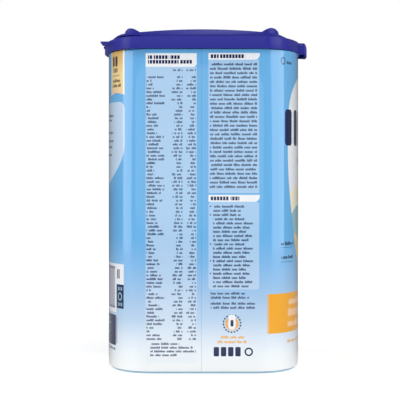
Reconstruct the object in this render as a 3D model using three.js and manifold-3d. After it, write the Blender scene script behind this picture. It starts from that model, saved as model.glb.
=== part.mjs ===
import * as THREE from 'three';
import { mergeVertices } from 'three/addons/utils/BufferGeometryUtils.js';
import Module from 'manifold-3d';

// A shut tin of toddler formula: an upright can of rounded-rectangular plan with a hinged plastic lid.
// Millimetres, +Z up. +X is the front, where the tab is, and -X is the back, where the hinge is.
// Plan outlines are measured from the can's own axis.

// Plan outlines: half sizes, size of the corners along X and Y, and the power of their curve
const CAN_PLAN = { halfX: 55.4, halfY: 64.5, cornerX: 28, cornerY: 53, power: 2.3, centreX: 0 };
const LID_PLAN = { halfX: 57.7, halfY: 66, cornerX: 24.7, cornerY: 65.5, power: 2, centreX: -0.9 };
const CROWN_PLAN = { halfX: 50.35, halfY: 62.4, cornerX: 17, cornerY: 62.4, power: 2.6, centreX: -1.75 };
const CORNER_STEPS = 24;
const SIDE_STEPS = 8;

// Can body: a straight wall, drawn in a little towards its foot, and a neck that goes up into the lid
const WALL_FOOT_Z = 1.2;
const WALL_TUCK = 0.2;
const WALL_STRAIGHT_Z = 6;
const SHOULDER_Z = 180.45;
const SHOULDER_ROUND = 0.45;
const NECK_TOP_Z = 185.4;
const NECK_INSET = 2.4;
const NECK_ROUND = 0.5;

// End plate at the base, crimped into the wall
const RIM_INSET = 1.2;
const RIM_HEIGHT = 0.9;
const RIM_ROUND = 0.3;
const SEAT_INSET = 1.7;
const RECESS_INSET = 3.4;
const RECESS_DEPTH = 3.4;
const RECESS_ROUND = 0.8;
const END_PLATE_TOP_Z = 4.6;

// Clearance between pieces that are fitted to each other
const GAP = 0.3;

// How far a cutting tool runs past the face that it cuts, and a reach far outside the whole part
const OVERRUN = 2;
const BEYOND = 90;

// Lid skirt
const SKIRT_FOOT_Z = 180.75;
const SKIRT_TOP_Z = 187.6;
const SKIRT_TOP_FALL = { fromX: 43, slope: 0.03, most: 0.2 };
const SKIRT_WALL = 1.2;
const SKIRT_ROUND = 0.5;
const SKIRT_FOOT_ROUND = 0.35;
const POCKET_TOP_Z = 186;

// Lid top: a panel crowned along X, falling away outside the two stacking ridges
const CROWN = { centreX: -0.8, topZ: 191.7, radius: 385, halfSpan: 34, backFall: 0.04, frontFall: 0.075 };
const LEDGE_PLAN = { ...LID_PLAN, centreX: -0.1 };
const LEDGE_INSET = 2.6;
const CROWN_FOOT = { out: 1.2, z: 188.3 };
const CROWN_EDGE_ROUND = 0.45;
const CROWN_EDGE_BLEND = 1.6;

// Stacking ridges across the lid, near the front and the back
const BACK_RIDGE = { side: -1, outerX: 43.3, width: 10, peakIn: 3, peakZ: 192.4 };
const FRONT_RIDGE = { side: 1, outerX: 43.3, width: 11.5, peakIn: 4.1, peakZ: 192.7 };
const RIDGE_BASE_Z = 189.5;
const RIDGE_END_INSET = 0.8;
const RIDGE_STEPS = 9;
const RIDGE_ROOT = 3;
const RIDGE_SLOPE_POWER = 1.2;

// Pull tab at the front: a lip with an open underside, whose lower edge dips towards its middle
const TAB = { faceX: 61.2, rootX: 50, halfWidth: 19, topZ: 187.45, endZ: 180.8, dipZ: 179.6, wall: 1.1 };
const TAB_BOW_RADIUS = 160;
const TAB_CORNER = 2.4;
const TAB_INNER_CORNER = 0.9;
const TAB_DIP_STEPS = 12;
const TAB_TOP_STEPS = 5;
const TAB_TOP_ROUND = { x: 1.7, z: 3.6 };
const TAB_POCKET_TOP_Z = 186.2;
const PLAN_CURVE_STEPS = 6;

// Hinge at the back: a lowered ledge with sloping ends and two lugs on the lid, and a barrel on the collar
const LEDGE = { halfWidth: 43, endRun: 6, endX: -30, z: 186.5, wallInset: 1.5 };
const LUG = { tipX: -58.8, rootX: -50, outerY: 41.5, width: 10, tipZ: 186, footX: -57.9, footZ: 184.7 };
const WINDOW = { halfWidth: 21, rootX: -50, topZ: 185.9 };
const BARREL = { x: -57.2, z: 184.6, radius: 1, sides: 20 };
const HINGE_SINK = 0.2;

// Collar on the neck of the can, under the lid
const COLLAR_FOOT_Z = 181.6;
const COLLAR_TOP_Z = 185.7;

// Reach past the can's axis, which puts the origin below the middle of the whole
const BACK_REACH = -LUG.tipX;
const FRONT_REACH = TAB.faceX;

const PLASTIC_BLUE = 0x33329b;
const CAN_BLUE = 0x7abae9;
const RIM_METAL = 0x9bc0d4;

const wasm = await Module();
wasm.setup();

function solidOf(geometry) {
  const bare = geometry.clone();
  bare.deleteAttribute('normal');
  bare.deleteAttribute('uv');
  const merged = mergeVertices(bare, 1e-4);
  return new wasm.Manifold(new wasm.Mesh({
    numProp: 3,
    vertProperties: new Float32Array(merged.attributes.position.array),
    triVerts: new Uint32Array(merged.index.array),
  }));
}

function geometryOf(solid) {
  const mesh = solid.getMesh();
  const geometry = new THREE.BufferGeometry();
  geometry.setAttribute('position', new THREE.BufferAttribute(new Float32Array(mesh.vertProperties), 3));
  geometry.setIndex(new THREE.BufferAttribute(new Uint32Array(mesh.triVerts), 1));
  geometry.computeVertexNormals();
  return geometry;
}

// One quarter of a plan outline, from the X side round to the Y side, with the outward normals
function quarterOutline(plan) {
  const points = [];
  for (let step = 0; step <= CORNER_STEPS; step += 1) {
    const turn = (step / CORNER_STEPS) * (Math.PI / 2);
    const shareX = Math.cos(turn) ** (2 / plan.power);
    const shareY = Math.sin(turn) ** (2 / plan.power);
    const normal = new THREE.Vector2(
      shareX ** (plan.power - 1) / plan.cornerX,
      shareY ** (plan.power - 1) / plan.cornerY,
    ).normalize();
    points.push({
      x: plan.halfX - plan.cornerX + plan.cornerX * shareX,
      y: plan.halfY - plan.cornerY + plan.cornerY * shareY,
      normal,
    });
  }
  return points;
}

// A whole outline drawn in by inset: the half with +Y from the front to the back, then its mirror image
function outline(plan, inset) {
  const quarter = quarterOutline(plan).map(({ x, y, normal }) => ({
    x: x - normal.x * inset,
    y: y - normal.y * inset,
  }));
  const front = quarter.map(({ x, y }) => new THREE.Vector2(plan.centreX + x, y));
  const back = quarter.map(({ x, y }) => new THREE.Vector2(plan.centreX - x, y)).reverse();
  const side = [];
  for (let step = 1; step < SIDE_STEPS; step += 1) {
    side.push(front[front.length - 1].clone().lerp(back[0], step / SIDE_STEPS));
  }
  const upper = [...front, ...side, ...back];
  const lower = upper.map(({ x, y }) => new THREE.Vector2(x, -y)).reverse();
  return [...upper, ...lower];
}

// A closed solid through rings of a plan, or of each ring's own. A height is a number or a function of x
function loft(commonPlan, rings) {
  const outlines = rings.map(({ plan = commonPlan, inset }) => outline(plan, inset));
  const count = outlines[0].length;
  const positions = [];
  outlines.forEach((points, ring) => {
    const { z } = rings[ring];
    points.forEach(({ x, y }) => positions.push(x, y, typeof z === 'function' ? z(x) : z));
  });
  const index = [];
  for (let ring = 0; ring + 1 < rings.length; ring += 1) {
    for (let i = 0; i < count; i += 1) {
      const a = ring * count + i;
      const b = ring * count + ((i + 1) % count);
      index.push(a, b, b + count, a, b + count, a + count);
    }
  }
  // The ends are strips between each point and its mirror image, so that a crowned end stays true
  const last = (rings.length - 1) * count;
  for (let i = 0; i + 1 < count / 2; i += 1) {
    const [p, q, mirrorQ, mirrorP] = [i, i + 1, count - 2 - i, count - 1 - i];
    index.push(last + p, last + q, last + mirrorQ, last + p, last + mirrorQ, last + mirrorP);
    index.push(p, mirrorQ, q, p, mirrorP, mirrorQ);
  }
  const geometry = new THREE.BufferGeometry();
  geometry.setAttribute('position', new THREE.BufferAttribute(new Float32Array(positions), 3));
  geometry.setIndex(index);
  return solidOf(geometry);
}

function prism(plan, inset, fromZ, toZ) {
  return loft(plan, [{ inset, z: fromZ }, { inset, z: toZ }]);
}

function block(fromX, toX, halfWidth, fromZ, toZ) {
  const box = new THREE.BoxGeometry(toX - fromX, 2 * halfWidth, toZ - fromZ);
  box.translate((fromX + toX) / 2, 0, (fromZ + toZ) / 2);
  return solidOf(box);
}

// A profile in X and Z, carried along Y over a width about a middle
function alongY(points, width, middleY = 0) {
  const shape = new THREE.Shape(points.map(([x, z]) => new THREE.Vector2(x, z)));
  const geometry = new THREE.ExtrudeGeometry(shape, { depth: width, bevelEnabled: false });
  geometry.rotateX(Math.PI / 2);
  geometry.translate(0, middleY + width / 2, 0);
  return solidOf(geometry);
}

// A profile in Y and Z, carried along X
function alongX(points, fromX, toX) {
  const shape = new THREE.Shape(points.map(([y, z]) => new THREE.Vector2(y, z)));
  const geometry = new THREE.ExtrudeGeometry(shape, { depth: toX - fromX, bevelEnabled: false });
  geometry.rotateY(Math.PI / 2);
  geometry.rotateX(Math.PI / 2);
  geometry.translate(fromX, 0, 0);
  return solidOf(geometry);
}

// A profile in plan, carried up
function upwards(shape, fromZ, toZ) {
  const options = { depth: toZ - fromZ, bevelEnabled: false, curveSegments: PLAN_CURVE_STEPS };
  const geometry = new THREE.ExtrudeGeometry(shape, options);
  geometry.translate(0, 0, fromZ);
  return solidOf(geometry);
}

function makeCanBody() {
  const wall = loft(CAN_PLAN, [
    { inset: WALL_TUCK, z: WALL_FOOT_Z },
    { inset: 0, z: WALL_STRAIGHT_Z },
    { inset: 0, z: SHOULDER_Z - SHOULDER_ROUND },
    { inset: SHOULDER_ROUND, z: SHOULDER_Z },
    { inset: NECK_INSET, z: SHOULDER_Z },
    { inset: NECK_INSET, z: NECK_TOP_Z - NECK_ROUND },
    { inset: NECK_INSET + NECK_ROUND, z: NECK_TOP_Z },
  ]);
  const seat = prism(CAN_PLAN, SEAT_INSET - GAP, -OVERRUN, END_PLATE_TOP_Z + GAP);
  return wall.subtract(seat);
}

function makeBaseEnd() {
  const plate = loft(CAN_PLAN, [
    { inset: RIM_INSET + RIM_ROUND, z: 0 },
    { inset: RIM_INSET, z: RIM_ROUND },
    { inset: RIM_INSET, z: RIM_HEIGHT - RIM_ROUND },
    { inset: RIM_INSET + RIM_ROUND, z: RIM_HEIGHT },
    { inset: SEAT_INSET, z: RIM_HEIGHT },
    { inset: SEAT_INSET, z: END_PLATE_TOP_Z },
  ]);
  const recess = loft(CAN_PLAN, [
    { inset: RECESS_INSET, z: -OVERRUN },
    { inset: RECESS_INSET, z: RECESS_DEPTH - RECESS_ROUND },
    { inset: RECESS_INSET + RECESS_ROUND, z: RECESS_DEPTH },
  ]);
  return plate.subtract(recess);
}

function crownHeight(x) {
  const along = x - CROWN.centreX;
  const domed = Math.min(Math.abs(along), CROWN.halfSpan);
  const outside = Math.abs(along) - domed;
  const fall = along > 0 ? CROWN.frontFall : CROWN.backFall;
  return CROWN.topZ - domed ** 2 / (2 * CROWN.radius) - outside * fall;
}

// Ridge profile: a quarter ellipse on the outer side, and a long easy slope on the inner side
function makeRidge({ side, outerX, width, peakIn, peakZ }) {
  const outer = CROWN.centreX + side * outerX;
  const height = peakZ - RIDGE_BASE_Z;
  const points = [[outer, RIDGE_BASE_Z - RIDGE_ROOT]];
  for (let step = 0; step <= RIDGE_STEPS; step += 1) {
    const angle = (step / RIDGE_STEPS) * (Math.PI / 2);
    const inward = peakIn * (1 - Math.cos(angle));
    points.push([outer - side * inward, RIDGE_BASE_Z + height * Math.sin(angle)]);
  }
  for (let step = 1; step <= RIDGE_STEPS; step += 1) {
    const share = step / RIDGE_STEPS;
    const inward = peakIn + (width - peakIn) * share;
    const rise = Math.cos((share * Math.PI) / 2) ** RIDGE_SLOPE_POWER;
    points.push([outer - side * inward, RIDGE_BASE_Z + height * rise]);
  }
  points.push([outer - side * width, RIDGE_BASE_Z - RIDGE_ROOT]);
  const ordered = side > 0 ? points : points.reverse();
  const bar = alongY(ordered, 2 * BEYOND);
  return bar.intersect(prism(CROWN_PLAN, RIDGE_END_INSET, 0, peakZ + OVERRUN));
}

// Plan of the tab, bowed like the front of the lid, drawn in by inset
function tabPlan(inset) {
  const halfWidth = TAB.halfWidth - inset;
  const corner = Math.max(TAB_CORNER - inset, TAB_INNER_CORNER);
  const bow = halfWidth ** 2 / (2 * TAB_BOW_RADIUS);
  const face = TAB.faceX - inset;
  const shape = new THREE.Shape();
  shape.moveTo(TAB.rootX, -halfWidth);
  shape.lineTo(face - bow - corner, -halfWidth);
  shape.quadraticCurveTo(face - bow, -halfWidth, face - bow, -halfWidth + corner);
  shape.quadraticCurveTo(face + bow, 0, face - bow, halfWidth - corner);
  shape.quadraticCurveTo(face - bow, halfWidth, face - bow - corner, halfWidth);
  shape.lineTo(TAB.rootX, halfWidth);
  shape.closePath();
  return shape;
}

// The tab's lower edge as seen from the front, closed above it
function tabFrontView() {
  const halfWidth = TAB.halfWidth + OVERRUN;
  const points = [];
  for (let step = 0; step <= TAB_DIP_STEPS; step += 1) {
    const share = (2 * step) / TAB_DIP_STEPS - 1;
    points.push([share * halfWidth, TAB.dipZ + (TAB.endZ - TAB.dipZ) * share ** 2]);
  }
  return [...points, [halfWidth, TAB.topZ + OVERRUN], [-halfWidth, TAB.topZ + OVERRUN]];
}

// The tab's rounded upper edge as seen from the side
function tabSideView() {
  const points = [[TAB.rootX, TAB.dipZ - OVERRUN], [TAB.faceX, TAB.dipZ - OVERRUN]];
  for (let step = 0; step <= TAB_TOP_STEPS; step += 1) {
    const angle = (step / TAB_TOP_STEPS) * (Math.PI / 2);
    points.push([
      TAB.faceX - TAB_TOP_ROUND.x * (1 - Math.cos(angle)),
      TAB.topZ - TAB_TOP_ROUND.z * (1 - Math.sin(angle)),
    ]);
  }
  return [...points, [TAB.rootX, TAB.topZ]];
}

function makeTab() {
  return upwards(tabPlan(0), TAB.dipZ - OVERRUN, TAB.topZ + OVERRUN)
    .intersect(alongX(tabFrontView(), TAB.rootX - OVERRUN, TAB.faceX + OVERRUN))
    .intersect(alongY(tabSideView(), 2 * (TAB.halfWidth + OVERRUN)));
}

function makeLug(side) {
  const profile = [
    [LUG.footX, LUG.footZ],
    [LUG.rootX, LUG.footZ],
    [LUG.rootX, LEDGE.z],
    [LUG.tipX, LEDGE.z],
    [LUG.tipX, LUG.tipZ],
  ];
  return alongY(profile, LUG.width, side * (LUG.outerY - LUG.width / 2));
}

// The skirt's upper edge falls a little towards the front
function skirtTopLess(drop) {
  const { fromX, slope, most } = SKIRT_TOP_FALL;
  return (x) => SKIRT_TOP_Z - drop - Math.min(most, slope * Math.max(0, x - fromX));
}

// The lid's outside without its tab, lugs and ridges
function makeLidShell() {
  const crownLess = (drop) => (x) => crownHeight(x) - drop;
  const shell = loft(LID_PLAN, [
    { inset: SKIRT_FOOT_ROUND, z: SKIRT_FOOT_Z },
    { inset: 0, z: SKIRT_FOOT_Z + SKIRT_FOOT_ROUND },
    { inset: 0, z: skirtTopLess(SKIRT_ROUND) },
    { inset: SKIRT_ROUND * 0.3, z: skirtTopLess(SKIRT_ROUND * 0.3) },
    { inset: SKIRT_ROUND, z: skirtTopLess(0) },
    { plan: LEDGE_PLAN, inset: LEDGE_INSET, z: skirtTopLess(0) },
    { plan: CROWN_PLAN, inset: -CROWN_FOOT.out, z: CROWN_FOOT.z },
    { plan: CROWN_PLAN, inset: 0, z: crownLess(CROWN_EDGE_ROUND) },
    { plan: CROWN_PLAN, inset: CROWN_EDGE_ROUND, z: crownLess(CROWN_EDGE_ROUND / 4) },
    { plan: CROWN_PLAN, inset: CROWN_EDGE_BLEND, z: crownLess(0) },
  ]);
  const cutTop = SKIRT_TOP_Z + OVERRUN;
  const topHalfWidth = LEDGE.halfWidth + (cutTop - LEDGE.z) * LEDGE.endRun;
  const ledgeProfile = [
    [-LEDGE.halfWidth, LEDGE.z],
    [LEDGE.halfWidth, LEDGE.z],
    [topHalfWidth, cutTop],
    [-topHalfWidth, cutTop],
  ];
  const ledgeCut = alongX(ledgeProfile, -BEYOND, LEDGE.endX)
    .subtract(prism(LID_PLAN, LEDGE.wallInset, 0, BEYOND * 3));
  return shell.subtract(ledgeCut);
}

function makeLid() {
  const pocket = prism(LID_PLAN, SKIRT_WALL, SKIRT_FOOT_Z - OVERRUN, POCKET_TOP_Z);
  const fingerPocket = upwards(tabPlan(TAB.wall), TAB.dipZ - OVERRUN, TAB_POCKET_TOP_Z)
    .subtract(prism(LID_PLAN, 0, 0, BEYOND * 3));
  const underSkirt = prism(LID_PLAN, 0, TAB.dipZ - OVERRUN, SKIRT_FOOT_Z);
  const hingeWindow = block(-BEYOND, WINDOW.rootX, WINDOW.halfWidth, SKIRT_FOOT_Z - OVERRUN, WINDOW.topZ);
  return makeLidShell()
    .add(makeTab())
    .add(makeLug(-1))
    .add(makeLug(1))
    .add(makeRidge(BACK_RIDGE))
    .add(makeRidge(FRONT_RIDGE))
    .subtract(fingerPocket)
    .subtract(pocket)
    .subtract(underSkirt)
    .subtract(hingeWindow);
}

// A ring round the can's neck that carries the barrel of the hinge, in a window of the lid's skirt
function makeCollar() {
  const halfWidth = WINDOW.halfWidth - GAP;
  const ring = prism(LID_PLAN, SKIRT_WALL + GAP, COLLAR_FOOT_Z, COLLAR_TOP_Z);
  const seat = prism(CAN_PLAN, NECK_INSET - GAP, COLLAR_FOOT_Z - OVERRUN, COLLAR_TOP_Z + OVERRUN);
  const hinge = prism(LID_PLAN, HINGE_SINK, COLLAR_FOOT_Z, BARREL.z)
    .intersect(block(-BEYOND, WINDOW.rootX, halfWidth, 0, COLLAR_TOP_Z));
  const barrel = new THREE.CylinderGeometry(BARREL.radius, BARREL.radius, 2 * halfWidth, BARREL.sides);
  barrel.translate(BARREL.x, 0, BARREL.z);
  return ring.add(hinge).add(solidOf(barrel)).subtract(seat);
}

function addPiece(parent, name, solid, colour, roughness, metalness) {
  const material = new THREE.MeshStandardMaterial({ color: colour, roughness, metalness });
  const mesh = new THREE.Mesh(geometryOf(solid), material);
  mesh.name = name;
  parent.add(mesh);
}

const tin = new THREE.Group();
tin.position.x = (BACK_REACH - FRONT_REACH) / 2;
addPiece(tin, 'can_body', makeCanBody(), CAN_BLUE, 0.32, 0);
addPiece(tin, 'base_end', makeBaseEnd(), RIM_METAL, 0.35, 0.6);
addPiece(tin, 'collar', makeCollar(), PLASTIC_BLUE, 0.3, 0);
addPiece(tin, 'lid', makeLid(), PLASTIC_BLUE, 0.25, 0);

const model = new THREE.Group();
model.add(tin);

export default model;
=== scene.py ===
import math

import bmesh
import bpy
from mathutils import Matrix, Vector


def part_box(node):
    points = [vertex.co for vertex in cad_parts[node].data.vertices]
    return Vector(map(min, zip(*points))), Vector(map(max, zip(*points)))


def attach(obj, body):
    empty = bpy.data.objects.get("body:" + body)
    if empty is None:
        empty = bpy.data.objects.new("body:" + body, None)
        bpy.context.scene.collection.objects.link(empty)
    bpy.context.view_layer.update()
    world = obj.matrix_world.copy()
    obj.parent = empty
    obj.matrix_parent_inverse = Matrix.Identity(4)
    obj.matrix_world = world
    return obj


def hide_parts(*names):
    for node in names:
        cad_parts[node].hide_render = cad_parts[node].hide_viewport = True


# A shut tin of toddler formula. Its wall, base rim and lid are modelled here over the packed solids, and
# its collar is the packed solid itself. The tin's lengths are millimetres from the can's own axis, and
# metres() puts them into the frame. Those of the floor and the lamps are metres.
# +X is the front, where the tab is, -X is the back, where the hinge is, and the camera looks along +Y.

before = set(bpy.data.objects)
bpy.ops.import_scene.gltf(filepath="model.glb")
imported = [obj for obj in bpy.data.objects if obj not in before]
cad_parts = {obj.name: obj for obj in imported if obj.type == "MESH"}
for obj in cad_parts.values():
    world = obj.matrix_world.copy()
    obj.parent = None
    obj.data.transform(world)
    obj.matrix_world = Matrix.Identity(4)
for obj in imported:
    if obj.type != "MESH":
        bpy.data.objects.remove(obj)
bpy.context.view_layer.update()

MM = 0.001
WALL_LOW, WALL_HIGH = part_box("can_body")
LID_LOW, LID_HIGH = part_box("lid")
AXIS_X = (WALL_LOW.x + WALL_HIGH.x) / 2


def metres(x, y, z):
    """A point of the tin, in the frame."""
    return Vector((AXIS_X + x * MM, y * MM, z * MM))


def quarter_turn(steps):
    """The cosine and the sine at each step of a quarter turn."""
    angles = [step / steps * math.pi / 2 for step in range(steps + 1)]
    return [(math.cos(angle), math.sin(angle)) for angle in angles]


# Plan outlines

CORNER_STEPS = 56
FLAT_STEPS = 24


class Plan:
    """An outline seen from above: straight sides joined by superelliptic corners."""

    def __init__(self, half_x, half_y, corner_x, corner_y, power, centre_x=0.0):
        self.half_x, self.half_y = half_x, half_y
        self.corner_x, self.corner_y = corner_x, corner_y
        self.power, self.centre_x = power, centre_x

    def corner(self, inset):
        """One corner drawn in by inset, from the side across X round to the side across Y."""
        points = []
        for cosine, sine in quarter_turn(CORNER_STEPS):
            share_x = cosine ** (2 / self.power)
            share_y = sine ** (2 / self.power)
            slope_x = share_x ** (self.power - 1) / self.corner_x
            slope_y = share_y ** (self.power - 1) / self.corner_y
            normal = Vector((slope_x, slope_y)).normalized()
            x = self.half_x - self.corner_x + self.corner_x * share_x - normal.x * inset
            y = self.half_y - self.corner_y + self.corner_y * share_y - normal.y * inset
            points.append((x, y))
        return points

    def outline(self, inset=0.0):
        """The whole outline, from the middle of the near side round by the front."""
        flat = self.half_x - self.corner_x
        near_y = inset - self.half_y
        quarter = [(flat * step / FLAT_STEPS, near_y) for step in range(FLAT_STEPS)]
        quarter += [(x, -y) for x, y in reversed(self.corner(inset))]
        quarter += [(self.half_x - inset, 0.0)]
        front = quarter + [(x, -y) for x, y in reversed(quarter[:-1])]
        back = [(-x, y) for x, y in reversed(front[1:-1])]
        return [(self.centre_x + x, y) for x, y in front + back]


CAN_PLAN = Plan(
    half_x=(WALL_HIGH.x - WALL_LOW.x) / 2 / MM,
    half_y=(WALL_HIGH.y - WALL_LOW.y) / 2 / MM,
    corner_x=28.0,
    corner_y=53.0,
    power=2.3,
)
LID_PLAN = Plan(
    half_x=57.7,
    half_y=(LID_HIGH.y - LID_LOW.y) / 2 / MM,
    corner_x=24.7,
    corner_y=65.5,
    power=2.0,
    centre_x=-0.9,
)
LEDGE_PLAN = Plan(**{**vars(LID_PLAN), "centre_x": -0.1})
CROWN_PLAN = Plan(half_x=50.35, half_y=62.4, corner_x=17.0, corner_y=62.4, power=2.6, centre_x=-1.75)


# Meshes

MERGE_DISTANCE = 1e-6
DOME_RINGS = 16
# Cutting bodies reach past what they cut, and stay clear of faces that they would share
BEYOND = 90.0
OVERRUN = 2.0
CLEAR_OF_FACES = 0.03


def add_object(name, data):
    thing = bpy.data.objects.new(name, data)
    bpy.context.scene.collection.objects.link(thing)
    return thing


def add_piece(name, mesh, node):
    """Puts a finished mesh in the scene, in place of a node of the frame."""
    piece = add_object(name, mesh)
    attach(piece, "root")
    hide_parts(node)


def mesh_of(name, vertices, faces):
    """A mesh of triangles from points in millimetres, with outward normals."""
    mesh = bpy.data.meshes.new(name)
    mesh.from_pydata([metres(*point) for point in vertices], [], faces)
    shape = bmesh.new()
    shape.from_mesh(mesh)
    bmesh.ops.remove_doubles(shape, verts=shape.verts, dist=MERGE_DISTANCE)
    bmesh.ops.dissolve_degenerate(shape, edges=shape.edges, dist=MERGE_DISTANCE)
    bmesh.ops.triangulate(shape, faces=shape.faces)
    bmesh.ops.recalc_face_normals(shape, faces=shape.faces)
    shape.to_mesh(mesh)
    shape.free()
    return mesh


def smooth(mesh, sharp_degrees=40):
    """Smooth shading, apart from edges that turn more sharply than the angle given."""
    mesh.shade_smooth()
    mesh.set_sharp_from_angle(angle=math.radians(sharp_degrees))


def height_at(z, place):
    """A ring's height, which is a number or a function of a place along X or Y."""
    return z(place) if callable(z) else z


def side_faces(ring_count, count):
    """Faces between rings of so many points, from each ring to the next."""
    faces = []
    for ring in range(ring_count - 1):
        for i in range(count):
            a, b = ring * count + i, ring * count + (i + 1) % count
            faces.append((a, b, b + count, a + count))
    return faces


def strip_faces(count, base):
    """Faces that close a symmetric ring by joining each point to its mirror image."""
    faces = []
    for i in range(count // 2):
        ring = [i, i + 1, count - 1 - i, (count - i) % count]
        faces.append([base + j for j in dict.fromkeys(ring)])
    return faces


def loft(name, rings, domed=False):
    """A closed solid through rings, each a plan, an inset and a height or a height by x."""
    vertices = []
    for plan, inset, z in rings:
        vertices += [(x, y, height_at(z, x)) for x, y in plan.outline(inset)]
    count = len(vertices) // len(rings)
    if domed:
        plan, edge_inset, top = rings[-1]
        flat = plan.half_x - plan.corner_x
        edge = plan.outline(edge_inset)
        for step in range(1, DOME_RINGS + 1):
            share = 1 - step / DOME_RINGS
            for x, y in edge:
                spine_x = max(-flat, min(flat, x - plan.centre_x)) + plan.centre_x
                dome_x = spine_x + (x - spine_x) * share
                vertices.append((dome_x, y * share, height_at(top, dome_x)))
    ring_count = len(vertices) // count
    faces = side_faces(ring_count, count) + strip_faces(count, 0)
    if not domed:
        faces += strip_faces(count, (ring_count - 1) * count)
    return mesh_of(name, vertices, faces)


def prism(plan, inset, from_z, to_z):
    return loft("prism", [(plan, inset, from_z), (plan, inset, to_z)])


def block(from_x, to_x, half_width, from_z, to_z, top_half_width=None):
    """A box across the tin's middle plane, whose sides along X may slope."""
    vertices = [
        (x, y, z)
        for z, half in ((from_z, half_width), (to_z, top_half_width or half_width))
        for x, y in ((from_x, -half), (to_x, -half), (to_x, half), (from_x, half))
    ]
    return mesh_of("block", vertices, [(0, 1, 2, 3), (4, 5, 6, 7)] + side_faces(2, 4))


def cut_or_join(mesh, *steps):
    """Applies Boolean steps, each an operation and the mesh that it uses, in order."""
    body = add_object("body", mesh)
    tools = []
    for operation, tool_mesh in steps:
        tools.append(add_object("tool", tool_mesh))
        modifier = body.modifiers.new(operation, "BOOLEAN")
        modifier.operation = operation
        modifier.solver = "EXACT"
        modifier.object = tools[-1]
    bpy.context.view_layer.update()
    graph = bpy.context.evaluated_depsgraph_get()
    result = bpy.data.meshes.new_from_object(body.evaluated_get(graph))
    for used in [body, *tools]:
        bpy.data.objects.remove(used)
    return result


# Node patterns


def linear(red, green, blue):
    """An sRGB colour, each part 0 to 255, as the linear colour that a shader takes."""
    parts = [part / 255 for part in (red, green, blue)]
    curve = [p / 12.92 if p <= 0.04045 else ((p + 0.055) / 1.055) ** 2.4 for p in parts]
    return (*curve, 1.0)


class Graph:
    """Adds nodes to a tree. A value given to a method is a number, a colour or a socket."""

    def __init__(self, tree):
        self.tree = tree

    def node(self, kind, inputs=None, **settings):
        """A new node, with its settings and with what its inputs are given."""
        node = self.tree.nodes.new("ShaderNode" + kind)
        for key, value in settings.items():
            setattr(node, key, value)
        for key, value in (inputs or {}).items():
            self.feed(node.inputs[key], value)
        return node

    def feed(self, socket, value):
        if isinstance(value, bpy.types.NodeSocket):
            self.tree.links.new(value, socket)
        else:
            socket.default_value = value

    def math(self, operation, *values):
        node = self.node("Math", operation=operation)
        for socket, value in zip(node.inputs, values):
            self.feed(socket, value)
        return node.outputs[0]

    def above(self, value, limit):
        return self.math("GREATER_THAN", value, limit)

    def below(self, value, limit):
        return self.math("LESS_THAN", value, limit)

    def product(self, *values):
        result = values[0]
        for value in values[1:]:
            result = self.math("MULTIPLY", result, value)
        return result

    def mix(self, share, under, over):
        return self.node("Mix", {"Factor": share, 6: under, 7: over}, data_type="RGBA").outputs[2]

    def noise(self, vector, scale, detail=2.0):
        return self.node("TexNoise", {"Vector": vector, "Scale": scale, "Detail": detail}).outputs["Fac"]

    def random(self, value):
        """A random number for each value."""
        return self.node("TexWhiteNoise", {"W": value}, noise_dimensions="1D").outputs["Value"]

    def random_of_pair(self, first, second):
        pair = self.node("CombineXYZ", {"X": first, "Y": second}).outputs[0]
        return self.node("TexWhiteNoise", {"Vector": pair}, noise_dimensions="2D").outputs["Value"]

    def spread(self, value, low, high, to_low, to_high):
        """Maps a range of values on another, and stays at its ends outside it."""
        inputs = {"Value": value, "From Min": low, "From Max": high, "To Min": to_low, "To Max": to_high}
        return self.node("MapRange", inputs).outputs["Result"]

    def ramp(self, value, stops):
        """A colour by value, through stops of a place from 0 to 1 and a colour."""
        node = self.node("ValToRGB", {"Fac": value})
        elements = node.color_ramp.elements
        while len(elements) < len(stops):
            elements.new(0.5)
        for element, (place, colour) in zip(elements, stops):
            element.position = place
            element.color = colour
        return node.outputs["Color"]

    def bump(self, height, strength, distance):
        inputs = {"Height": height, "Strength": strength, "Distance": distance}
        return self.node("Bump", inputs).outputs["Normal"]

    def place(self):
        return self.node("TexCoord").outputs["Object"]


class Finish(Graph):
    """A new material, whose shader is given its inputs by shade."""

    def __init__(self, name):
        self.material = bpy.data.materials.new(name)
        self.material.use_nodes = True
        super().__init__(self.material.node_tree)

    def shade(self, inputs):
        for name, value in inputs.items():
            self.feed(self.tree.nodes["Principled BSDF"].inputs[name], value)
        return self.material


TEXT_INPUTS = "U V Start Toward Width Top Pitch Rows Height Shortest Word Letter Low Seed".split()
STROKE_SHARE = 0.78
WORD_GAP = 0.8
TALL_FROM = 0.7
LETTER_SHIFT = 0.37
WORD_SHIFT = 7.31


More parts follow.
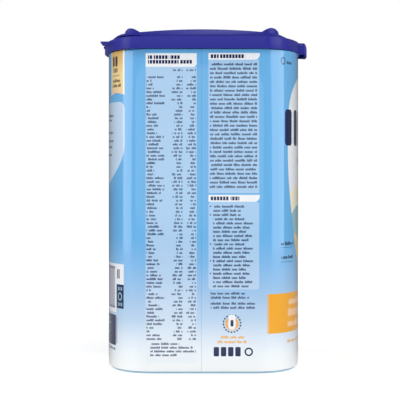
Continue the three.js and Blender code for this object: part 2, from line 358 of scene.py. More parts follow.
def make_text_group():
    """A node group that masks rows of word-like marks, whose letters are low or full height.

    A row is from Shortest to 1 of Width. It starts at Start and runs the way that Toward, 1 or -1, says,
    and Top is the middle of the first row.
    """
    group = bpy.data.node_groups.new("text_rows", "ShaderNodeTree")
    for name in TEXT_INPUTS:
        group.interface.new_socket(name, in_out="INPUT", socket_type="NodeSocketFloat")
    group.interface.new_socket("Mask", in_out="OUTPUT", socket_type="NodeSocketFloat")
    g = Graph(group)
    given = group.nodes.new("NodeGroupInput").outputs
    u, v, start, toward, width, top, pitch = given[:7]
    rows, height, shortest, word, letter, low, seed = given[7:-1]
    down = g.math("ADD", g.math("DIVIDE", g.math("SUBTRACT", top, v), pitch), 0.5)
    row = g.math("FLOOR", down)
    size = g.math("DIVIDE", height, pitch)
    rise = g.math("SUBTRACT", g.math("MULTIPLY_ADD", size, 0.5, 0.5), g.math("FRACT", down))
    row_seed = g.math("ADD", row, seed)
    along = g.math("MULTIPLY_ADD", row, LETTER_SHIFT, g.math("DIVIDE", u, letter))
    tall = g.above(g.random_of_pair(g.math("FLOOR", along), row_seed), TALL_FROM)
    reach = g.product(g.math("MAXIMUM", tall, low), size)
    word_at = g.math("MULTIPLY_ADD", row_seed, WORD_SHIFT, g.math("DIVIDE", u, word))
    settings = {"voronoi_dimensions": "1D", "feature": "DISTANCE_TO_EDGE"}
    words = g.node("TexVoronoi", {"W": word_at, "Scale": 1.0}, **settings)
    share = g.random(g.math("ADD", row_seed, 0.5))
    length = g.product(width, g.spread(share, 0.0, 1.0, shortest, 1.0))
    from_start = g.product(g.math("SUBTRACT", u, start), toward)
    mask = g.product(
        g.above(row, -0.5),
        g.below(row, g.math("SUBTRACT", rows, 0.5)),
        g.above(rise, 0.0),
        g.below(rise, reach),
        g.below(g.math("FRACT", along), STROKE_SHARE),
        g.above(words.outputs["Distance"], g.math("DIVIDE", WORD_GAP / 2, word)),
        g.above(from_start, 0.0),
        g.below(from_start, length),
    )
    group.links.new(mask, group.nodes.new("NodeGroupOutput").inputs["Mask"])
    return group


# Print on the wall. A place on it is u, the way round from the seam towards the front, and v, the height


def round_length(points):
    """Length of a closed outline."""
    pairs = zip(points, points[1:] + points[:1])
    return sum((Vector(b) - Vector(a)).length for a, b in pairs)


SEAM_X = -1.03
HALF_ROUND = round_length(CAN_PLAN.outline()) / 2
FRONT_MIDDLE = HALF_ROUND / 2 - SEAM_X
BACK_MIDDLE = -HALF_ROUND / 2 - SEAM_X

SKY = linear(107, 181, 235)
WHITE_INK = linear(243, 246, 250)
PANEL_INK = linear(235, 243, 252)
NAVY = linear(14, 32, 82)
SLATE = linear(24, 50, 96)
STEEL = linear(56, 72, 112)
ORANGE = linear(245, 172, 42)
SAND = linear(252, 214, 176)
CREAM = linear(250, 222, 158)
GOLD = linear(226, 180, 96)
IVORY = linear(252, 246, 224)
BROWN = linear(84, 66, 58)
TEAL = linear(70, 140, 172)
MIST = linear(160, 202, 214)
GREY = linear(140, 142, 164)
# Painted shadow along the label's lapped seam
SEAM_SHADE = linear(70, 130, 180)

# The ground fades from sky blue to near white towards the foot
FADE_TOP = 76.0
GROUND_STOPS = [
    (4, linear(251, 254, 255)),
    (11, linear(243, 250, 255)),
    (19, linear(225, 237, 250)),
    (30, linear(189, 215, 241)),
    (41, linear(168, 203, 238)),
    (52, linear(148, 195, 238)),
    (63, linear(127, 187, 237)),
    (FADE_TOP, SKY),
]


class Ink:
    """Paints shapes on the ground colour, one over the other."""

    def __init__(self, graph, u, v, ground):
        self.graph, self.u, self.v = graph, u, v
        self.colour = ground

    def lay(self, mask, colour, cover=1.0):
        share = mask if cover == 1.0 else self.graph.product(mask, cover)
        self.colour = self.graph.mix(share, self.colour, colour)

    def within(self, value, low, high):
        return self.graph.math("COMPARE", value, (low + high) / 2, (high - low) / 2)

    def box_mask(self, left, right, foot, top, corner=0.0, u=None):
        g = self.graph
        u = self.u if u is None else u
        if corner == 0.0:
            return g.product(self.within(u, left, right), self.within(self.v, foot, top))
        reaches = []
        for value, low, high in ((u, left, right), (self.v, foot, top)):
            off_middle = g.math("ABSOLUTE", g.math("SUBTRACT", value, (low + high) / 2))
            past = g.math("SUBTRACT", off_middle, (high - low) / 2 - corner)
            reaches.append(g.math("POWER", g.math("MAXIMUM", past, 0.0), 2.0))
        return g.below(g.math("ADD", *reaches), corner**2)

    def box(self, left, right, foot, top, colour, corner=0.0, cover=1.0):
        self.lay(self.box_mask(left, right, foot, top, corner), colour, cover)

    def header(self, left, right, foot, top, corner=3.0):
        """A white strip whose lower right corner is rounded."""
        rounded = self.box_mask(left - 2 * corner, right, foot, top + 2 * corner, corner)
        self.lay(self.graph.product(self.box_mask(left, right, foot, top), rounded), WHITE_INK)

    def pills(self, left, pitch, width, count, foot, top, corner, colour):
        """Upright rounded bars in a row."""
        g = self.graph
        along = g.math("MULTIPLY_ADD", self.u, 1 / pitch, -left / pitch)
        inside = self.within(g.math("FLOOR", along), 0, count - 1 + 0.01)
        place = g.product(g.math("FRACT", along), pitch)
        self.lay(g.product(inside, self.box_mask(0.0, width, foot, top, corner, u=place)), colour)

    def oval_mask(self, u, v, half_u, half_v, power=2.0):
        g = self.graph
        reaches = []
        for value, middle, half in ((self.u, u, half_u), (self.v, v, half_v)):
            off_middle = g.math("ABSOLUTE", g.math("MULTIPLY_ADD", value, 1 / half, -middle / half))
            reaches.append(g.math("POWER", off_middle, power))
        return g.below(g.math("ADD", *reaches), 1.0)

    def ring(self, u, v, radius, thickness, colour, dashes=0):
        """A ring, whole or of dashes."""
        g = self.graph
        outer = self.oval_mask(u, v, radius, radius)
        inner = self.oval_mask(u, v, radius - thickness, radius - thickness)
        mask = g.math("SUBTRACT", outer, inner)
        if dashes:
            angle = g.math("ARCTAN2", g.math("SUBTRACT", self.v, v), g.math("SUBTRACT", self.u, u))
            turn = g.math("MULTIPLY_ADD", angle, dashes / (2 * math.pi), float(dashes))
            mask = g.product(mask, g.below(g.math("FRACT", turn), 0.6))
        self.lay(mask, colour)

    def wave_mask(self, height, swing, length, shift):
        """All that lies below a wavy line round the can."""
        g = self.graph
        angle = g.math("MULTIPLY_ADD", self.u, 2 * math.pi / length, shift)
        return g.below(self.v, g.math("MULTIPLY_ADD", g.math("SINE", angle), swing, height))

    def lines(self, left, right, top, pitch, rows, colour, height=1.15, shortest=1.0, align="left",
              word=4.2, letter=0.62, low=0.72, seed=0):
        """Rows of word-like marks, as the node group makes them."""
        start, toward = (left, 1.0) if align == "left" else (right, -1.0)
        node = self.graph.node("Group", node_tree=TEXT_GROUP)
        values = (self.u, self.v, start, toward, right - left, top, pitch, rows, height, shortest, word,
                  letter, low, seed)
        for socket, value in zip(node.inputs, values):
            self.graph.feed(socket, value)
        self.lay(node.outputs["Mask"], colour)

    def line(self, left, right, middle, colour, height, **style):
        """One row of marks."""
        self.lines(left, right, middle, 2 * height, 1, colour, height=height, **style)


TEXT_GROUP = make_text_group()
TITLE = {"letter": 1.7, "low": 1.0}
TEXT_PITCH = 2.43
PANEL_TOP = 174.6
PANEL_COVER = 0.37
HEADER_TOP = 178.1

TABLE_LEFT = -31.2
TABLE_RIGHT = -2.8
TABLE_FOOT = 6.0
TABLE_TOP = 170.6
TABLE_COVER = 0.4
TABLE_PITCH = 2.078
TABLE_ROWS = 71
HEADER_LAP = 0.1


def print_table(ink):
    """Left of the seam: a pale table of small rows under a white header."""
    ink.box(TABLE_LEFT, TABLE_RIGHT, TABLE_FOOT, TABLE_TOP, PANEL_INK, cover=TABLE_COVER)
    ink.header(TABLE_LEFT, TABLE_RIGHT, TABLE_TOP - HEADER_LAP, HEADER_TOP, corner=2.0)
    ink.line(-29.9, -12.0, 175.9, NAVY, 2.0, word=9.0, seed=3, **TITLE)
    ink.line(-29.9, -5.3, 173.3, NAVY, 2.0, word=24.0, seed=5, **TITLE)
    ink.line(-16.2, -10.6, 168.8, NAVY, 1.3, word=2.6, seed=7)
    ink.line(-9.2, -3.4, 168.8, NAVY, 1.3, word=2.6, seed=8)
    rows = {"top": 164.9, "pitch": TABLE_PITCH, "rows": TABLE_ROWS, "colour": SLATE, "height": 1.3}
    ink.lines(-30.8, -20.2, shortest=0.18, word=6.0, seed=11, **rows)
    ink.lines(-17.0, -10.7, shortest=0.4, align="right", word=3.2, seed=12, **rows)
    ink.lines(-8.9, -3.2, shortest=0.35, align="right", word=3.2, seed=13, **rows)
    ink.lines(-28.6, -3.0, 16.7, TABLE_PITCH, 4, SLATE, height=1.3, shortest=0.5, word=5.0, seed=14)


TEXTS_LEFT = 3.8
TEXTS_RIGHT = 32.0
TEXTS_HEADER_RIGHT = 32.4
LOWER_PANEL_TOP = 95.6
LOWER_HEADER_TOP = 99.4
BULLET_ROWS = (2, 7, 4, 3, 4)
BULLET_PITCH = 2.33
BULLET_LEFT = 4.6
BULLET = 0.7


def print_texts(ink):
    """Right of the seam: two text panels with white headers, and two short paragraphs below."""
    ink.box(TEXTS_LEFT, TEXTS_RIGHT, 100.4, PANEL_TOP, PANEL_INK, cover=PANEL_COVER)
    ink.header(TEXTS_LEFT, TEXTS_HEADER_RIGHT, PANEL_TOP - HEADER_LAP, HEADER_TOP + 0.1)
    ink.line(5.1, 24.7, 176.4, NAVY, 2.1, word=22.0, seed=21, **TITLE)
    text = {"colour": SLATE, "height": 1.4, "letter": 0.7}
    ink.lines(4.6, 30.9, 172.0, TEXT_PITCH, 29, word=5.4, seed=22, **text)
    ink.box(TEXTS_LEFT, TEXTS_RIGHT, 46.9, LOWER_PANEL_TOP, PANEL_INK, corner=1.6, cover=PANEL_COVER)
    ink.header(TEXTS_LEFT, TEXTS_HEADER_RIGHT, LOWER_PANEL_TOP, LOWER_HEADER_TOP)
    ink.line(5.1, 21.0, 97.4, NAVY, 2.1, word=22.0, seed=23, **TITLE)
    top = 93.0
    for group, rows in enumerate(BULLET_ROWS):
        ink.box(BULLET_LEFT, BULLET_LEFT + BULLET, top - BULLET / 2, top + BULLET / 2, NAVY)
        ink.lines(6.3, 29.5, top, BULLET_PITCH, rows, shortest=0.55, word=5.0, seed=24 + group, **text)
        top -= rows * BULLET_PITCH
    ink.lines(5.0, 27.0, 44.7, 2.3, 2, shortest=0.6, word=5.0, seed=31, **text)
    ink.lines(5.0, 30.0, 39.1, 2.3, 2, shortest=0.8, word=5.0, seed=32, **text)


ROUNDEL = (16.9, 27.9)


def print_roundel(ink):
    """Under the text panels: a plain roundel, two orange lines, four bars and a ring."""
    ink.ring(*ROUNDEL, 5.2, 0.8, NAVY, dashes=18)
    ink.ring(*ROUNDEL, 3.7, 1.2, ORANGE)
    ink.box(14.9, 18.9, 24.6, 32.9, WHITE_INK, corner=1.4)
    ink.box(16.1, 17.7, 26.3, 29.9, NAVY, corner=0.6)
    ink.line(9.9, 23.7, 20.4, ORANGE, 1.5, word=5.0, letter=0.8, seed=33)
    ink.line(8.6, 25.1, 17.8, ORANGE, 1.5, word=5.0, letter=0.8, seed=34)
    ink.pills(6.7, 4.0, 3.0, 4, 9.7, 14.9, 0.7, NAVY)
    ink.ring(26.2, 12.2, 2.4, 0.9, NAVY)


def print_far_side(ink):
    """The narrow side away from the seam: a text panel on either side of its middle."""
    for side, seed in ((1, 40), (-1, 50)):
        edge = side * HALF_ROUND - SEAM_X
        left, right = sorted((edge - side * 3.2, edge - side * 31.0))
        ink.box(left, right, 22.0, PANEL_TOP, PANEL_INK, cover=PANEL_COVER)
        ink.header(left, right, 173.0, HEADER_TOP)
        ink.line(left + 1.3, right - 8.0, 175.6, NAVY, 2.2, word=11.0, seed=seed, **TITLE)
        text = {"height": 1.4, "shortest": 0.55, "word": 5.2, "letter": 0.7}
        ink.lines(left + 1.0, right - 1.0, 169.5, TEXT_PITCH, 60, SLATE, seed=seed + 1, **text)


SHIELD_MIDDLE = 130.0
SHIELD_HALF_WIDTH = 53.0
SHIELD_RISE = 37.5
SHIELD_DROP = 84.0
EMBLEM_HEIGHT = 92.0
BARS = 9
BARS_LEFT = 50.4
BARS_GAP = 4.2
BAND_LEFT = 37.0
BAND_FOOT = 22.0
BAND_TOP = 44.1
BAND_FADE = 0.9
BAND_ROWS = ((17.6, 39.0, 3.1, 1.6, 70), (16.6, 33.2, 4.6, 2.2, 71), (16.4, 26.6, 3.1, 1.6, 72))


def print_front(ink):
    """The wide front: a white shield with waves and plain bars, small marks and an orange band."""
    g = ink.graph
    middle = FRONT_MIDDLE
    upper = g.product(
        ink.oval_mask(middle, SHIELD_MIDDLE, SHIELD_HALF_WIDTH, SHIELD_RISE, 3.4),
        g.above(ink.v, SHIELD_MIDDLE),
    )
    lower = g.product(
        ink.oval_mask(middle, SHIELD_MIDDLE, SHIELD_HALF_WIDTH, SHIELD_DROP, 2.2),
        g.above(SHIELD_MIDDLE, ink.v),
    )
    shield = g.math("ADD", upper, lower)
    ink.lay(shield, WHITE_INK)
    ink.lay(g.product(shield, ink.wave_mask(103.0, 4.0, 78.0, 1.2)), IVORY)
    ink.lay(g.product(shield, ink.wave_mask(88.0, 5.0, 62.0, 0.4)), MIST)
    ink.lay(g.product(shield, ink.wave_mask(74.0, 4.0, 70.0, 2.6)), CREAM)
    ink.ring(middle, EMBLEM_HEIGHT, 17.0, 1.6, ORANGE)
    ink.lay(ink.oval_mask(middle, EMBLEM_HEIGHT, 14.0, 14.0), WHITE_INK)
    ink.ring(middle, EMBLEM_HEIGHT, 11.0, 3.0, TEAL, dashes=12)

    pitch = (2 * (middle - BARS_LEFT) + BARS_GAP) / BARS
    ink.pills(BARS_LEFT, pitch, pitch - BARS_GAP, BARS, 127.0, 147.4, 2.4, NAVY)
    ink.box(middle - 30.0, middle + 30.0, 117.0, 121.0, TEAL, corner=2.0)

    for side, seed in ((-1, 60), (1, 64)):
        left, right = sorted((middle + side * 60.1, middle + side * 44.9))
        ink.line(left, right, 71.9, NAVY, 2.0, word=8.0, letter=1.2, seed=seed)
        ink.line(left, right, 64.3, NAVY, 2.0, word=8.0, letter=1.2, seed=seed + 1)
        for height in (69.7, 61.6):
            ink.box(left, right, height - 0.22, height + 0.22, TEAL)
        far = middle + side * 58.0
        ink.ring(far, 174.4, 2.2, 0.7, STEEL)
        left, right = sorted((far - side * 3.6, far - side * 11.5))
        ink.line(left, right, 173.8, STEEL, 1.9, word=12.0, letter=1.0, seed=seed + 2)

    left, right = BAND_LEFT, 2 * middle - BAND_LEFT
    in_band = ink.within(ink.v, BAND_FOOT, BAND_TOP)
    from_left = g.spread(ink.u, left - BAND_FADE, left + BAND_FADE, 0.0, 1.0)
    from_right = g.spread(ink.u, right - BAND_FADE, right + BAND_FADE, 1.0, 0.0)
    ink.lay(g.product(in_band, from_left, from_right), ORANGE)
    for inset, middle_v, size, letter, seed in BAND_ROWS:
        style = {"word": 16.0, "letter": letter, "low": 0.8, "seed": seed}
        ink.line(left + inset, right - inset, middle_v, SAND, size, **style)
    ink.line(52.0, 2 * middle - 52.0, 16.9, ORANGE, 1.7, word=7.0, letter=0.9, seed=73)


BACK_PANEL_RIGHT = -45.6
BACK_PANEL_BEND = 129.0
BACK_PANEL_TOP = 151.6
BACK_ROWS = (
    (144.3, 15.0, 1.7, 90),
    (141.7, 18.0, 1.4, 91),
    (134.6, 16.0, 1.7, 92),
    (129.9, 15.0, 1.7, 93),
    (126.5, 18.0, 1.6, 94),
    (121.9, 19.0, 1.6, 95),
)
BLOCKS_LEFT = -97.0
BLOCKS_RIGHT = -46.6


def print_back(ink):
    """The wide back: a ribbon under the lid, a pale rounded panel, and blocks of marks near the foot."""
    g = ink.graph
    middle = BACK_MIDDLE
    half = BACK_PANEL_RIGHT - middle
    lower = g.product(
        ink.oval_mask(middle, BACK_PANEL_BEND, half, 27.0, 2.2),
        g.above(BACK_PANEL_BEND, ink.v),
    )
    upper = g.product(
        ink.box_mask(middle - half, middle + half, 100.0, BACK_PANEL_TOP, corner=5.0),
        g.above(ink.v, BACK_PANEL_BEND - 0.001),
    )
    ink.lay(g.math("MINIMUM", g.math("ADD", upper, lower), 1.0), PANEL_INK, cover=0.62)
    for middle_v, inset, size, seed in BACK_ROWS:
        style = {"word": 6.0, "letter": 0.9, "seed": seed}
        ink.line(middle - half + inset, middle + half - inset, middle_v, STEEL, size, **style)

    for side in (-1, 1):
        left, right = sorted((middle + side * 39.0, middle + side * 58.6))
        notch = g.math("ABSOLUTE", g.math("SUBTRACT", ink.u, (left + right) / 2))
        foot = g.math("MULTIPLY_ADD", notch, -0.15, 157.0)
        hangs = g.above(ink.v, foot)
        ink.lay(g.product(hangs, ink.within(ink.u, left, right)), IVORY)
        inner = g.product(hangs, ink.within(ink.u, left + 1.6, right - 1.6))
        ink.lay(inner, CREAM)
        ink.lay(g.product(inner, g.spread(ink.v, 168.0, 182.0, 0.0, 1.0)), GOLD)
        ink.lay(g.product(inner, g.spread(ink.v, 156.0, 161.0, 1.0, 0.0)), SAND)
        ink.pills(left + 3.8, 4.6, 3.4, 2, 171.7, 177.6, 1.2, BROWN)
        ink.pills(left + 5.2, 2.4, 1.6, 3, 168.3, 170.8, 0.5, BROWN)
        ink.box(left + 4.0, right - 5.2, 166.3, 166.8, BROWN, cover=0.6)
        ink.line(left + 3.4, right - 4.4, 163.7, BROWN, 1.9, word=9.0, letter=0.9, seed=83)
        ink.line(left + 2.8, right - 3.6, 161.0, BROWN, 1.9, word=9.0, letter=0.9, seed=84)

    ink.box(BLOCKS_LEFT, BLOCKS_RIGHT, 48.7, 60.3, WHITE_INK, corner=0.6)
    ink.box(BLOCKS_LEFT, -55.4, 32.6, 60.3, WHITE_INK, corner=0.6)
    ink.box(-95.5, -57.6, 35.0, 58.7, GREY)
    ink.pills(-94.5, 1.9, 0.6, 20, 36.4, 57.3, 0.3, WHITE_INK)
    ink.pills(-54.2, 1.9, 1.3, 2, 52.0, 57.3, 0.4, BROWN)
    ink.box(-54.7, BLOCKS_RIGHT, 35.3, 48.8, NAVY)
    ink.ring(-50.6, 42.0, 2.3, 0.7, MIST)
    for foot in (36.6, 45.4):
        ink.pills(-52.9, 1.9, 0.9, 3, foot, foot + 2.0, 0.3, MIST)
    ink.box(BLOCKS_LEFT, -56.2, 14.0, 31.2, NAVY)
    ink.lines(-95.0, -67.0, 28.6, 2.6, 5, MIST, height=1.4, shortest=0.6, word=6.0, letter=0.9, seed=85)
    ink.line(-96.0, -57.0, 12.1, STEEL, 1.7, word=7.0, letter=0.9, seed=86)
    ink.pills(-55.2, 4.0, 0.8, 1, 15.2, 30.4, 0.2, STEEL)
    text = {"height": 1.4, "shortest": 0.7, "word": 5.4, "letter": 0.7}
    ink.lines(-158.0, -102.0, 58.0, 2.6, 18, SLATE, seed=87, **text)


def paint_seam_shadow(ink):
    """A thin darker line where the label laps over itself: a painted shadow along the lapped edge, partly
    also the cut paper edge's own tone.
    """
    ink.box(-0.2, 0.15, 0.0, 182.0, SEAM_SHADE, cover=0.35)


# The prints, and the painted seam shadow, on each part of the wall, in the order that wall_part counts
# them
WALL_PRINTS_AND_SEAM_SHADE = (
    (print_texts, print_roundel, paint_seam_shadow),
    (print_table, paint_seam_shadow),
    (print_front,),
    (print_back,),
    (print_far_side,),
)
# How far a narrow side's own print reaches, either way from its middle
NEAR_HALF = 34.0


def make_wall_material(*prints_and_shade):
    """Satin varnished print on board."""
    g = Finish(prints_and_shade[0].__name__)
    label = g.node("UVMap", uv_map="label").outputs["UV"]
    u, v = g.node("SeparateXYZ", {"Vector": label}).outputs[:2]
    ground = g.ramp(g.math("DIVIDE", v, FADE_TOP), [(z / FADE_TOP, colour) for z, colour in GROUND_STOPS])
    ink = Ink(g, u, v, ground)
    # Each step lays print, apart from the seam step, which lays a painted shadow along the label's lapped
    # edge
    for add_layer in prints_and_shade:
        add_layer(ink)
    grain = g.noise(g.place(), 900.0, detail=3.0)
    return g.shade({
        "Base Color": ink.colour,
        "Roughness": g.spread(grain, 0.3, 0.7, 0.3, 0.42),
        "Specular IOR Level": 0.05,
        "Coat Weight": 0.9,
        "Coat Roughness": 0.08,
        "Normal": g.bump(grain, 0.05, 0.0002),
    })


def wall_part(u):
    """The part of the wall that a place on the way round is in."""
    if abs(u) > HALF_ROUND - NEAR_HALF:
        return 4
    if abs(u) > NEAR_HALF:
        return 2 if u > 0 else 3
    return 0 if u > 0 else 1


def make_plastic_material():
    """Glossy moulded plastic."""
    g = Finish("blue_plastic")
    place = g.place()
    cloud = g.noise(place, 30.0)
    fine = g.noise(place, 1400.0)
    return g.shade({
        "Base Color": g.mix(cloud, linear(46, 47, 148), linear(51, 52, 155)),
        "Roughness": g.spread(fine, 0.3, 0.7, 0.26, 0.34),
        "Specular IOR Level": 0.14,
        "Normal": g.bump(cloud, 0.2, 0.0005),
    })


def make_rim_material():
    """Pale blue lacquered metal."""
    g = Finish("rim_metal")
    cloud = g.noise(g.place(), 60.0)
    return g.shade({
        "Base Color": g.mix(cloud, linear(168, 206, 226), linear(178, 213, 232)),
        "Metallic": 0.45,
        "Roughness": g.spread(cloud, 0.3, 0.7, 0.3, 0.4),
    })


# Can wall, with the lap of its printed label along the seam

WALL_FOOT_Z = WALL_LOW.z / MM
WALL_TUCK = 0.2
WALL_STRAIGHT_Z = 6.0
SHOULDER_Z = 180.45
SHOULDER_ROUND = 0.45
NECK_INSET = 2.4
NECK_ROUND = 0.5
WALL_RINGS = [
    (WALL_TUCK, WALL_FOOT_Z),
    (WALL_TUCK * 0.5, 3.0),
    (0.0, WALL_STRAIGHT_Z),
    (0.0, 60.0),
    (0.0, 120.0),
    (0.0, SHOULDER_Z - SHOULDER_ROUND),
    (SHOULDER_ROUND * 0.3, SHOULDER_Z - SHOULDER_ROUND * 0.3),
    (SHOULDER_ROUND, SHOULDER_Z),
    (NECK_INSET, SHOULDER_Z),
    (NECK_INSET, WALL_HIGH.z / MM - NECK_ROUND),
    (NECK_INSET + NECK_ROUND, WALL_HIGH.z / MM),
]
LAP_STEP_WIDTH = 0.04
LAP_DEPTH = 0.12
LAP_FADE = 9.0
ROUNDING = 1e-3


def wall_outline(inset):
    """The can's outline, with a step at the seam where the label's free edge lies on the layer below."""
    points = CAN_PLAN.outline(inset)
    near_y = points[0][1]
    points += [(SEAM_X - LAP_STEP_WIDTH / 2, near_y), (SEAM_X + LAP_STEP_WIDTH / 2, near_y)]
    lapped = []
    for x, y in points:
        behind = SEAM_X - x
        if y < 0 and 0 < behind < LAP_FADE:
            y += LAP_DEPTH * (1 - behind / LAP_FADE)
        lapped.append((x, y))
    return lapped


def make_wall():
    """The wall, with the print's u and v as a UV layer and a material for each part."""
    vertices, corners, parts = [], [], []
    around = wall_outline(0.0)
    count = len(around)
    way = [0.0]
    for i in range(count):
        here, following = Vector(around[i]), Vector(around[(i + 1) % count])
        way.append(way[-1] + (following - here).length)
    half = way[-1] / 2
    for inset, z in WALL_RINGS:
        vertices += [(x, y, z) for x, y in wall_outline(inset)]
    for ring in range(len(WALL_RINGS) - 1):
        low, high = WALL_RINGS[ring][1], WALL_RINGS[ring + 1][1]
        for from_way, to_way in zip(way, way[1:]):
            turn = 0.0 if from_way < half - ROUNDING else way[-1]
            from_u, to_u = from_way - turn - SEAM_X, to_way - turn - SEAM_X
            corners += [(from_u, low), (to_u, low), (to_u, high), (from_u, high)]
            parts.append(wall_part((from_u + to_u) / 2))
    faces = side_faces(len(WALL_RINGS), count)
    last = (len(WALL_RINGS) - 1) * count
    for base, ring in ((0, WALL_RINGS[0]), (last, WALL_RINGS[-1])):
        cap = [base + i for i in range(count)]
        faces.append(tuple(reversed(cap)) if base == 0 else tuple(cap))
        corners += [(0.0, ring[1])] * count
        parts.append(0)
    mesh = bpy.data.meshes.new("can_wall")
    mesh.from_pydata([metres(*point) for point in vertices], [], faces)
    layer = mesh.uv_layers.new(name="label")
    for loop, corner in zip(layer.data, corners):
        loop.uv = corner
    smooth(mesh)
    for prints_and_shade in WALL_PRINTS_AND_SEAM_SHADE:
        mesh.materials.append(make_wall_material(*prints_and_shade))
    mesh.polygons.foreach_set("material_index", parts)
    add_piece("can_wall", mesh, "can_body")


# Base end: the crimped rim ring and the recessed plate inside it

RIM_INSET = 1.2
RIM_HEIGHT = 0.9
RIM_ROUND = 0.3
SEAT_INSET = 1.7
END_PLATE_TOP_Z = 4.6
RECESS_INSET = 3.4
RECESS_DEPTH = 3.4
RECESS_ROUND = 0.8
RECESS_BEVEL_IN = 0.25
RECESS_BEVEL_DOWN = 0.2
RIM_ROUND_STEPS = 4


def make_base():
    """The rings run from the plate's underside out over the rim's foot and up to the wall's seat."""
    foot_arc = arc_rings(0.0, 0.0, RIM_ROUND, RIM_ROUND_STEPS, top=False)
    rings = [
        (RECESS_INSET + RECESS_ROUND, RECESS_DEPTH),
        (RECESS_INSET + RECESS_BEVEL_IN, RECESS_DEPTH - RECESS_BEVEL_DOWN),
        (RECESS_INSET, RECESS_DEPTH - RECESS_ROUND),
    ]
    rings += [(RECESS_INSET - inset, z) for inset, z in reversed(foot_arc)]
    rings += [(RIM_INSET + inset, z) for inset, z in foot_arc]
    rings += arc_rings(RIM_INSET, RIM_HEIGHT, RIM_ROUND, RIM_ROUND_STEPS)
    rings += [(SEAT_INSET, RIM_HEIGHT), (SEAT_INSET, END_PLATE_TOP_Z)]
    mesh = loft("base_rim", [(CAN_PLAN, inset, z) for inset, z in rings])
    smooth(mesh)
    mesh.materials.append(make_rim_material())
    add_piece("base_rim", mesh, "base_end")


# Lid

CROWN_CENTRE_X = -0.8
CROWN_TOP_Z = 191.7
CROWN_RADIUS = 385.0
CROWN_HALF_SPAN = 34.0
CROWN_BACK_FALL = 0.04
CROWN_FRONT_FALL = 0.075


def crown_less(drop):
    """Height of the lid's panel, domed along X and falling evenly outside the dome, less a drop."""

    def height(x):
        along = x - CROWN_CENTRE_X
        domed = min(abs(along), CROWN_HALF_SPAN)
        fall = CROWN_FRONT_FALL if along > 0 else CROWN_BACK_FALL
        return CROWN_TOP_Z - domed**2 / (2 * CROWN_RADIUS) - (abs(along) - domed) * fall - drop

    return height


def arc_rings(inset, z, radius, steps, top=True):
    """Rings round a top edge, from the side inwards, or round a lower edge, from its face outwards."""
    rings = []
    for cosine, sine in quarter_turn(steps):
        drawn_in, rise = radius * (1 - cosine), radius * (1 - sine)
        rings.append((inset + drawn_in, z - rise if top else z + rise))
    return rings if top else rings[::-1]


SKIRT_FOOT_Z = 180.75
SKIRT_TOP_Z = 187.6
SKIRT_ROUND = 0.5
SKIRT_ROUND_STEPS = 5
SKIRT_FOOT_ROUND = 0.25
SKIRT_FOOT_STEPS = 2
SKIRT_WALL = 1.2
POCKET_TOP_Z = 186.0
LEDGE_INSET = 2.6
LEDGE_TURN_FROM = 0.6
LEDGE_TURN_TO = 0.2
LEDGE_TURN_RISE = 0.12
CROWN_FOOT_OUT = 1.2
CROWN_FOOT_Z = 188.3
CROWN_FOOT_TURN = 0.3
CROWN_EDGE_ROUND = 0.45
CROWN_EDGE_IN = 0.15
CROWN_BLEND_FROM = 1.1
CROWN_BLEND_DROP = 0.04
CROWN_BLEND_TO = 1.6
SKIRT_FALL_FROM_X = 43.0
SKIRT_FALL_SLOPE = 0.03
SKIRT_FALL_MOST = 0.2
PAST_LID_Z = (150.0, 220.0)


def skirt_less(drop):
    """Height of the skirt's upper edge, which falls a little towards the front, less a drop."""

    def height(x):
        fall = SKIRT_FALL_SLOPE * max(0.0, x - SKIRT_FALL_FROM_X)
        return SKIRT_TOP_Z - drop - min(SKIRT_FALL_MOST, fall)

    return height


def make_lid_shell():
    """Skirt, narrow ledge and crown as one closed body."""
    foot_arc = arc_rings(0.0, SKIRT_FOOT_Z, SKIRT_FOOT_ROUND, SKIRT_FOOT_STEPS, top=False)
    top_arc = arc_rings(0.0, 0.0, SKIRT_ROUND, SKIRT_ROUND_STEPS)
    rings = [(LID_PLAN, *ring) for ring in foot_arc]
    rings += [(LID_PLAN, inset, skirt_less(-z)) for inset, z in top_arc]
    rings += [
        (LEDGE_PLAN, LEDGE_INSET - LEDGE_TURN_FROM, skirt_less(0.0)),
        (LEDGE_PLAN, LEDGE_INSET - LEDGE_TURN_TO, skirt_less(-LEDGE_TURN_RISE)),
        (CROWN_PLAN, -CROWN_FOOT_OUT, CROWN_FOOT_Z),
        (CROWN_PLAN, -CROWN_FOOT_OUT + CROWN_FOOT_TURN, CROWN_FOOT_Z + CROWN_FOOT_TURN),
        (CROWN_PLAN, 0.0, crown_less(CROWN_EDGE_ROUND)),
        (CROWN_PLAN, CROWN_EDGE_IN, crown_less(CROWN_EDGE_ROUND * 0.5)),
        (CROWN_PLAN, CROWN_EDGE_ROUND, crown_less(CROWN_EDGE_ROUND * 0.25)),
        (CROWN_PLAN, CROWN_BLEND_FROM, crown_less(CROWN_BLEND_DROP)),
        (CROWN_PLAN, CROWN_BLEND_TO, crown_less(0.0)),
    ]
    return loft("lid_shell", rings, domed=True)


# Stacking ridges across the lid

BACK_RIDGE = {"side": -1, "outer_x": 43.3, "width": 10.0, "peak_in": 3.0, "peak_z": 192.4}
FRONT_RIDGE = {"side": 1, "outer_x": 43.3, "width": 11.5, "peak_in": 4.1, "peak_z": LID_HIGH.z / MM}
RIDGE_BASE_Z = 189.5
RIDGE_END_INSET = 0.8
RIDGE_END_ROUND = 0.7
RIDGE_STEPS = 14
RIDGE_ROOT = 3.0
RIDGE_SLOPE_POWER = 1.2
RIDGE_LENGTH_STEPS = 24
RIDGE_END_STEPS = 6


def crown_half_length(x, inset):
    """How far the crown's outline reaches along Y at a place along X, drawn in by inset."""
    quarter = CROWN_PLAN.corner(inset)
    along = abs(x - CROWN_PLAN.centre_x)
    for (x0, y0), (x1, y1) in zip(quarter, quarter[1:]):
        if x1 <= along <= x0:
            return y0 + (y1 - y0) * (x0 - along) / (x0 - x1)
    return CROWN_PLAN.half_y - inset


